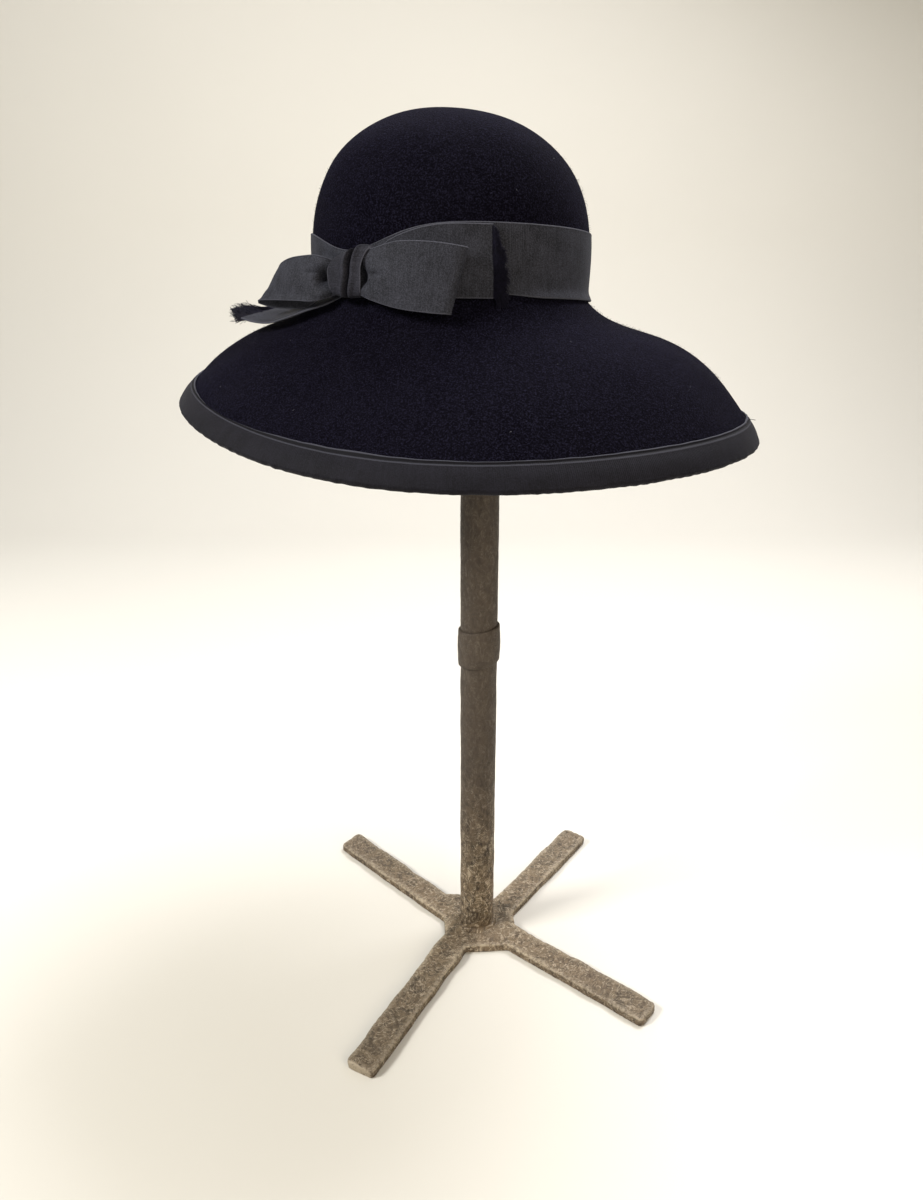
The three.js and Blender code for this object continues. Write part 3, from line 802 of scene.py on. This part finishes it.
def loose_thread(tree, place):
    """Dyed rayon threads: dark navy and dulled by fraying, with tones that change every 3 mm."""
    share = node(tree, "TexNoise", {"Vector": place, "Scale": 300, "Detail": 2})
    tones = {0: share, 6: colour("#05040c"), 7: colour("#100e20")}
    tone = node(tree, "Mix", tones, data_type="RGBA")
    return {"Base Color": tone, "Roughness": 0.8, "Specular IOR Level": 0.15}


navy_thread = new_material("loose_thread", loose_thread)


def frayed_end(name, row, strands, length, droop, seed, taper=0.0, gather=0.0):
    """Threads in bow coordinates that start along a tail's cut end and run on outward: each
    is a start, a straight run, a droop with the square of the run, and two kinks.

    row is the cut, as in the tables. taper makes the threads shorter towards its upper edge,
    and gather draws their ends towards its middle."""
    draw = np.random.default_rng(seed)
    low, high = np.reshape(row, (2, 3))
    share = draw.uniform(0.01, 0.99, (strands, 1))
    start = low + (high - low) * share + draw.normal(0, 0.15, (strands, 3))
    clump = plane_waves(start, 7, seed)[:, None]
    outward = np.sign(low[0])
    run = np.linspace(0, 1, 10)[None, :]
    reach = draw.uniform(0.3, 1, (strands, 1)) * length * (0.8 + 0.2 * clump)
    reach = reach * (1 + taper * (0.25 - share**2))
    lean = draw.normal(0, 0.12, (strands, 1)) + 0.12 * np.roll(clump, strands // 3)
    fall = draw.uniform(0.2, 1, (strands, 1)) * droop
    kink = draw.uniform(0, 2 * math.pi, (strands, 3))
    size = draw.uniform(0.2, 0.9, (strands, 1))
    along = reach * run * (1 - 0.25 * run)
    along = along + size * 0.6 * run * np.sin(9 * run + kink[:, :1])
    height = lean * reach * run * 0.5 - fall * run**2
    height = height + size * run * np.sin(11 * run + kink[:, 1:2])
    lift = size * run * np.cos(8 * run + kink[:, 2:]) + 1.1 * run
    path = np.stack([outward * along, height, lift], -1)
    path = path + ((low + high) / 2 - start)[:, None] * gather * run[..., None]
    radius = 0.15 + draw.uniform(0, 0.09, (strands, 1)) - 0.06 * run
    piece = threads(name, on_crown(start[:, None] + path), radius, navy_thread)
    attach(piece, "root")
    return piece


front_threads = frayed_end(
    "front_tail_threads",
    (82.9, -1.8, 3, 82.9, 36.6, 2.5),
    strands=1500,
    length=12,
    droop=9,
    seed=31,
    taper=0.85,
)
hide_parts("front_tail_fringe")
back_threads = frayed_end(
    "back_tail_threads",
    (-88, -14.6, 14.3, -92, -6.4, -17),
    strands=1100,
    length=40,
    droop=-1.5,
    seed=32,
    gather=0.6,
)
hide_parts("back_tail_fringe")


# ---------------------------------------------------------- stitches, lint, stray fibres
# The binding is sewn by machine just inside its edge, and one end of the thread was left
# long. A little pale lint clings to the hat, and stray wool fibres stand up from the nap.
def plain_fibre(tree, place, ground, light):
    """A dull fibre whose tone changes from strand to strand, over about 12 mm."""
    noise = node(tree, "TexNoise", {"Vector": place, "Scale": 80, "Detail": 1})
    share = node(tree, "MapRange", {"Value": noise, "From Min": 0.3, "From Max": 0.7})
    tone = node(tree, "Mix", {0: share, 6: colour(ground), 7: colour(light)}, data_type="RGBA")
    return {"Base Color": tone, "Roughness": 0.9, "Specular IOR Level": 0.1}


STITCH = 1.5
STITCH_PITCH = 2.3
SEAM = 2.4


def binding_stitches():
    """Short threads end to end round the brim, each a flat arch that dips in at both ends,
    and one loose end that curls off the brim."""
    count = round(brim_length / STITCH_PITCH)
    bearing = full_turn(count)
    share = np.linspace(-0.5, 0.5, 5)[None, :]
    bearing = bearing[:, None] + share * 2 * math.pi / count * STITCH / STITCH_PITCH
    flat = bearing.ravel()
    t = back_from_edge(flat, np.full((len(flat), 1), BINDING - SEAM))[:, 0]
    rise = GAP + CLOTH + 0.28 - 0.5 * (2 * share) ** 4
    rise = np.broadcast_to(rise, bearing.shape).ravel()
    stitches = felt_at(flat, t, -rise).reshape(*bearing.shape, 3)
    run = np.linspace(0, 1, 5)
    end = np.radians(25 - 0.6 * run)
    t = back_from_edge(end, np.full((5, 1), BINDING - 0.4))[:, 0]
    return np.concatenate([stitches, felt_at(end, t + 0.01 * run**2, -1 - 4.2 * run)[None]])


seam_thread = new_material("seam_thread", plain_fibre, "#201f27", "#45444d")
stitches = threads("binding_stitches", binding_stitches(), 0.17, seam_thread)
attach(stitches, "root")
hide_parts("brim_binding")


def lying_fibres(count, length, lift, seed):
    """Fibres at random places on the felt, each a start and two points further along: they
    run out in the felt's own plane, turning a little, and rise from it as they go."""
    draw = np.random.default_rng(seed)
    bearing = draw.uniform(0, 2 * math.pi, (count, 1))
    t = np.sqrt(draw.uniform(0.1, 1, (count, 1))) * 1.8
    here = felt_at(bearing, t)
    side = unit(felt_at(bearing + 0.01, t) - here)
    down = unit(felt_at(bearing, t + 0.01) - here)
    out = np.cross(down, side)
    run = np.linspace(0, 1, 3)[None, :, None]
    size = draw.uniform(0.4, 1, (count, 1, 1)) * length
    turn = draw.uniform(0, 2 * math.pi, (count, 1, 1)) + draw.normal(0, 1, (count, 1, 1)) * run
    rise = draw.uniform(0, 1, (count, 1, 1)) * lift * run + 0.1
    flat = side * np.cos(turn) + down * np.sin(turn)
    return here + flat * size * run + out * rise


pale_fibre = new_material("lint", plain_fibre, "#2c2c34", "#6a6a70")
lint = threads("lint", lying_fibres(40, length=1.3, lift=0.3, seed=61), 0.1, pale_fibre)
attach(lint, "root")

wool = new_material("wool", plain_fibre, "#100f1a", "#2b2a3a")
nap = threads("nap", lying_fibres(6500, length=1.6, lift=1.5, seed=62), 0.045, wool)
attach(nap, "root")


# ------------------------------------------------------------------------ the iron foot
# Four lengths of flat steel bar meet in a hub plate with straight webs between them. The
# whole is flame cut and rusted, then rubbed, so its top is scaly and its edges are pale.
BAR_WIDTH = 22.4
BAR_THICKNESS = 7.2
TIP_ROUND = 4
POST_RADIUS = 13.35
BORE_RADIUS = 10.45
RUBBED_TIPS = 165.5

# root x and y, tip x and y, and how far out the web leaves the bar's right and left side
foot_bars = [
    (6.6, 0, 123.8, -98, 32, 22),
    (9.8, 0, 95.5, 120.5, 18.5, 24.5),
    (-8, 0, -117.5, 111, 36, 16.5),
    (-5.5, 0, -82, -145.5, 22.5, 29.5),
]


def rusted_iron(tree, place):
    """Old mild steel, rusted brown in scaly patches and rubbed back: the low places are dark
    and dull, the high ones a pale grey brown with a trace of metal. It has curled scratches
    and pale rubbed edges, and is a little duller out along the bars. Up the post it is dark:
    partly its own darker rust, partly painted shade from the brim above."""
    # blotches 4 mm across and drawn out along the post, patches 8 mm, grit 2.4 mm, and slow
    # changes over 55 mm; the scratches follow a line through blotches of 11 mm
    drawn = node(tree, "Mapping", {"Vector": place, "Scale": (1, 1, 0.4)})
    blotch = {"Vector": drawn, "Scale": 230, "Detail": 8, "Roughness": 0.75, "Distortion": 1.4}
    blotch = node(tree, "TexNoise", blotch)
    patch = {"Vector": place, "Scale": 120, "Detail": 5, "Roughness": 0.6, "Distortion": 1.6}
    patch = node(tree, "TexNoise", patch)
    grit = node(tree, "TexNoise", {"Vector": place, "Scale": 420, "Detail": 5, "Roughness": 0.75})
    cloud = node(tree, "TexNoise", {"Vector": place, "Scale": 18, "Detail": 3})
    curl = node(tree, "TexNoise", {"Vector": place, "Scale": 95, "Detail": 4, "Distortion": 2.5})

    both = node(tree, "Math", {0: patch, 1: 1.1, 2: blotch}, operation="MULTIPLY_ADD")
    brown = node(tree, "MapRange", {"Value": both, "From Min": 0.84, "From Max": 1.18})
    fleck = node(tree, "MapRange", {"Value": grit, "From Min": 0.59, "From Max": 0.72})
    warm = {"Value": cloud, "From Min": 0.4, "From Max": 0.7, "To Max": 0.3}
    warm = node(tree, "MapRange", warm)
    line = node(tree, "Math", {0: curl, 1: 0.5, 2: 0.03}, operation="COMPARE")
    broken = {"Value": blotch, "From Min": 0.42, "From Max": 0.6, "To Max": 0.75}
    broken = node(tree, "MapRange", broken)
    scratch = node(tree, "Math", {0: line, 1: broken}, operation="MULTIPLY")
    bare = node(tree, "MapRange", {"Value": grit, "From Min": 0.36, "From Max": 0.56})
    rubbed = node(tree, "Attribute", out="Fac", attribute_name="worn")
    bare = node(tree, "Math", {0: bare, 1: rubbed}, operation="MULTIPLY")
    reach = node(tree, "VectorMath", {0: place}, out="Value", operation="LENGTH")
    dull = {"Value": reach, "From Min": 0.05, "From Max": 0.13, "To Max": 0.28}
    height = node(tree, "SeparateXYZ", {0: place}, out="Z")
    # darker up the post: partly its own darker rust, partly painted shade from the brim above
    high = {"Value": height, "From Min": 0.05, "From Max": 0.16, "To Max": 0.82}
    tones = [
        (brown, "#75654f"),
        (fleck, "#a5967e"),
        (warm, "#7a6450"),
        (scratch, "#c0b29c"),
        (bare, "#b5a892"),
        (node(tree, "MapRange", dull), "#3b332c"),
        (node(tree, "MapRange", high), "#3b332c"),
    ]
    tone = colour("#2a221a")
    for share, code in tones:
        tone = node(tree, "Mix", {0: share, 6: tone, 7: colour(code)}, data_type="RGBA")

    relief = node(tree, "Math", {0: grit, 1: 0.6, 2: blotch}, operation="MULTIPLY_ADD")
    rough = {"Value": blotch, "From Min": 0.35, "From Max": 0.65, "To Min": 0.8, "To Max": 0.55}
    return {
        "Base Color": tone,
        "Metallic": 0.3,
        "Roughness": node(tree, "MapRange", rough),
        "Normal": node(tree, "Bump", {"Height": relief, "Strength": 0.6, "Distance": 0.0009}),
    }


rust = new_material("rusted_iron", rusted_iron)


def foot_outline():
    """Round the foot, bar by bar: out along the bar's right side, round the two corners of
    its tip, and back along its left side to where the next web begins."""
    corners = []
    half = BAR_WIDTH / 2
    for root_x, root_y, tip_x, tip_y, web_right, web_left in foot_bars:
        root = np.array([root_x, root_y])
        axis = np.array([tip_x, tip_y]) - root
        length = np.linalg.norm(axis)
        axis /= length
        left = np.array([-axis[1], axis[0]])
        turn = np.radians(np.linspace(-90, 90, 9))
        tip_out = length - TIP_ROUND + TIP_ROUND * np.cos(turn)
        tip_side = np.copysign(half - TIP_ROUND, turn) + TIP_ROUND * np.sin(turn)
        places = [(web_right, -half), *zip(tip_out, tip_side), (web_left, half)]
        corners += [root + axis * out + left * side for out, side in places]
    return np.array(corners)


def iron_foot():
    """The outline as a plate with bevelled edges, divided finely, then pitted and dented
    along its normals by plane waves. Its attribute worn is 1 where it is rubbed bright: on
    its shoulders, near its outline and at the bars' far ends."""
    flat = foot_outline() * MM
    mesh = bpy.data.meshes.new("outline")
    points = [(x, y, 0) for x, y in flat]
    mesh.from_pydata(points, [], [range(len(points))])
    blank = show(mesh, rust)
    thick = blank.modifiers.new("plate", "SOLIDIFY")
    thick.thickness = BAR_THICKNESS * MM
    thick.offset = 1
    soft = blank.modifiers.new("edges", "BEVEL")
    soft.width = 1.5 * MM
    soft.segments = 4
    soft.limit_method = "ANGLE"
    fine = blank.modifiers.new("grain", "REMESH")
    fine.mode = "VOXEL"
    fine.voxel_size = 1.15 * MM
    finished = blank.evaluated_get(bpy.context.evaluated_depsgraph_get())
    final = bpy.data.meshes.new_from_object(finished)
    bpy.data.objects.remove(blank)
    final.name = "iron_foot"
    place, normal = np.empty((2, len(final.vertices), 3))
    final.vertices.foreach_get("co", place.ravel())
    final.vertex_normals.foreach_get("vector", normal.ravel())
    pits = np.minimum(plane_waves(place / MM, 5, 41), 0.4)
    depth = 0.45 * plane_waves(place / MM, 24, 42) + 0.16 * pits - 0.1
    depth = depth * np.clip(place[:, 2:] / MM / 2, 0, 1)[:, 0]
    place = place + normal * depth[:, None] * MM
    place[:, 2] = np.maximum(place[:, 2], 0)
    final.vertices.foreach_set("co", place.ravel())
    start = foot_outline()
    side = np.roll(start, -1, axis=0) - start
    away = place[:, None, :2] / MM - start
    along = np.clip((away * side).sum(-1) / (side**2).sum(-1), 0, 1)
    inside = np.linalg.norm(away - along[..., None] * side, axis=-1).min(axis=1)
    worn = bell(normal[:, 2], 0.6, 0.28)
    worn = np.maximum(worn, 0.8 * bell(inside, 0, 3.6) * (normal[:, 2] > 0.3))
    far_ends = np.clip(np.hypot(place[:, 0], place[:, 1]) / MM - RUBBED_TIPS, 0, 1) * 2
    worn = np.maximum(worn, far_ends)
    final.attributes.new("worn", "FLOAT", "POINT").data.foreach_set("value", worn)
    final.shade_smooth()
    return final


foot = show(iron_foot(), rust)
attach(foot, "root")
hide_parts("foot_and_lower_post")


# ------------------------------------------------------------------- pipes, weld, sleeve
# Two lengths of three-quarter-inch pipe stand on the foot, the lower one held by a lumpy
# bead of weld. A short sleeve covers the joint and sits askew, and a domed cap ends the
# upper length under the crown.
def turned(name, profile, dents, seed, columns=96, skew=0.0):
    """A closed profile of radius and height, turned round the post's axis, dented a little
    in and out. Where it sits askew, each point is raised by skew times its X."""
    radius, height = np.asarray(profile, float).T[..., None]
    angle = full_turn(columns)[None, :]
    grid = np.broadcast_arrays(radius * np.cos(angle), radius * np.sin(angle), height)
    grid = np.stack(grid, -1)
    uneven = plane_waves(grid, 30, seed) * 0.6 + plane_waves(grid, 6, seed + 1) * 0.25
    scale = 1 + dents * uneven / np.maximum(radius, 1)
    grid[..., :2] *= scale[..., None]
    grid[..., 2] += skew * grid[..., 0]
    piece = show(surface(name, grid * MM, (True, True)), rust)
    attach(piece, "root")
    return piece


def profile_line(*corners, step=2.4):
    """Points along the closed line of straight stretches between corners, about step apart."""
    corners = np.asarray(corners, float)
    parts = []
    for here, there in zip(corners, np.roll(corners, -1, axis=0)):
        count = max(1, round(np.linalg.norm(there - here) / step))
        parts.append(here + (there - here) * np.arange(count)[:, None] / count)
    return np.concatenate(parts)


SPLIT = 255
SPLIT_GAP = 0.3
PIPE_FOOT = 6
pipe_end = SPLIT - SPLIT_GAP / 2
lower_walls = profile_line(
    (BORE_RADIUS, PIPE_FOOT),
    (POST_RADIUS, PIPE_FOOT),
    (POST_RADIUS, pipe_end),
    (BORE_RADIUS, pipe_end),
)
lower_pipe = turned("lower_pipe", lower_walls, dents=0.16, seed=51)
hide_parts("foot_and_lower_post")

# the bead's section is an oval in the corner between the post and the hub plate
bead_turn = full_turn(28)
bead_radius = POST_RADIUS + 0.4 + 2.3 * np.cos(bead_turn)
bead_height = BAR_THICKNESS + 0.3 + 2.1 * np.sin(bead_turn)
bead = np.stack([bead_radius, bead_height], 1)
weld = turned("weld_bead", bead, dents=0.7, seed=53, columns=180)
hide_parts("foot_and_lower_post")

# the sleeve's half: radius and height over the joint, from its middle to its end
SLEEVE_BORE = POST_RADIUS + GAP
SLEEVE_TILT = 8.5
sleeve_half = np.array([(15.35, 7), (15, 13.2), (14.4, 14), (SLEEVE_BORE, 14)])
sleeve_line = [*sleeve_half[::-1] * (1, -1), (15.45, 0), *sleeve_half]
sleeve_walls = profile_line(*(np.array(sleeve_line) + (0, SPLIT)), step=1.2)
skew = math.tan(math.radians(SLEEVE_TILT))
sleeve = turned("post_sleeve", sleeve_walls, dents=0.18, seed=57, skew=skew)
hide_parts("post_coupling")

CAP_RADIUS = 38
CAP_RIM = 5
DOME_RADIUS = 75
cap_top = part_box("upper_post_and_cap")[1][2] / MM
dome_middle = cap_top - DOME_RADIUS
rim_top = dome_middle + math.sqrt(DOME_RADIUS**2 - CAP_RADIUS**2)
dome = [(r, dome_middle + math.sqrt(DOME_RADIUS**2 - r**2)) for r in np.linspace(CAP_RADIUS - 1, 0, 20)]
pipe_start = SPLIT + SPLIT_GAP / 2
cap_line = profile_line(
    (BORE_RADIUS, rim_top - CAP_RIM),
    (BORE_RADIUS, pipe_start),
    (POST_RADIUS, pipe_start),
    (POST_RADIUS, rim_top - CAP_RIM),
    (CAP_RADIUS - 0.6, rim_top - CAP_RIM),
    (CAP_RADIUS, rim_top - CAP_RIM + 0.6),
    (CAP_RADIUS, rim_top - 0.8),
    *dome,
    (0, rim_top - CAP_RIM),
    step=2.6,
)
upper_post = turned("upper_pipe_and_cap", cap_line, dents=0.16, seed=59)
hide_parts("upper_post_and_cap")


# -------------------------------------------------------------------- floor and lights
# A pale paper sweep: level under the stand, then curving up behind it. One soft light stands
# high on the left, another hangs above and behind on the right, a weak warm one fills in
# from the front right, and a little light comes from all round.
def paper_sweep():
    """A line that runs level, turns up through a quarter circle and runs straight up, drawn
    out sideways."""
    turn = np.radians(np.linspace(0, 90, 24))
    rise = np.stack([1.1 + 0.6 * np.sin(turn), 0.6 - 0.6 * np.cos(turn)], 1)
    line = np.concatenate([[(-2.5, 0)], rise, [(1.7, 3)]])
    grid = np.broadcast_arrays([[-3.5, 3.5]], line[:, :1], line[:, 1:])
    return surface("paper_sweep", np.stack(grid, -1))


def matt_paper(tree, place):
    """Uncoated backdrop paper: pale, warm and matt, with tones that change over half a metre."""
    share = node(tree, "TexNoise", {"Vector": place, "Scale": 2, "Detail": 2})
    tones = {0: share, 6: colour("#d3d0c8"), 7: colour("#d8d5cd")}
    return {"Base Color": node(tree, "Mix", tones, data_type="RGBA"), "Roughness": 0.9}


paper = new_material("matt_paper", matt_paper)
show(paper_sweep(), paper)


def soft_light(name, place, aim, size, power, tint):
    """A square area light at a place, turned to face its aim."""
    lamp = bpy.data.lights.new(name, "AREA")
    lamp.size = size
    lamp.energy = power
    lamp.color = colour(tint)[:3]
    holder = bpy.data.objects.new(name, lamp)
    holder.location = place
    direction = Vector(aim) - Vector(place)
    holder.rotation_euler = direction.to_track_quat("-Z", "Y").to_euler()
    scene.collection.objects.link(holder)


soft_light("window", (-1.4, -0.6, 1.35), (0, 0, 0.4), 0.5, 37, "#fffdf8")
soft_light("ceiling", (0.5, 0.5, 1.7), (0, 0, 0.45), 0.9, 37, "#fbfbff")
soft_light("room", (0.8, -1.35, 0.9), (0, 0, 0.4), 1.0, 15, "#fff0d8")

world = bpy.data.worlds.new("room")
world.use_nodes = True
sky = world.node_tree.nodes["Background"].inputs
sky["Color"].default_value = colour("#f4f2ec")
sky["Strength"].default_value = 0.3
scene.world = world
scene.view_settings.view_transform = "Standard"
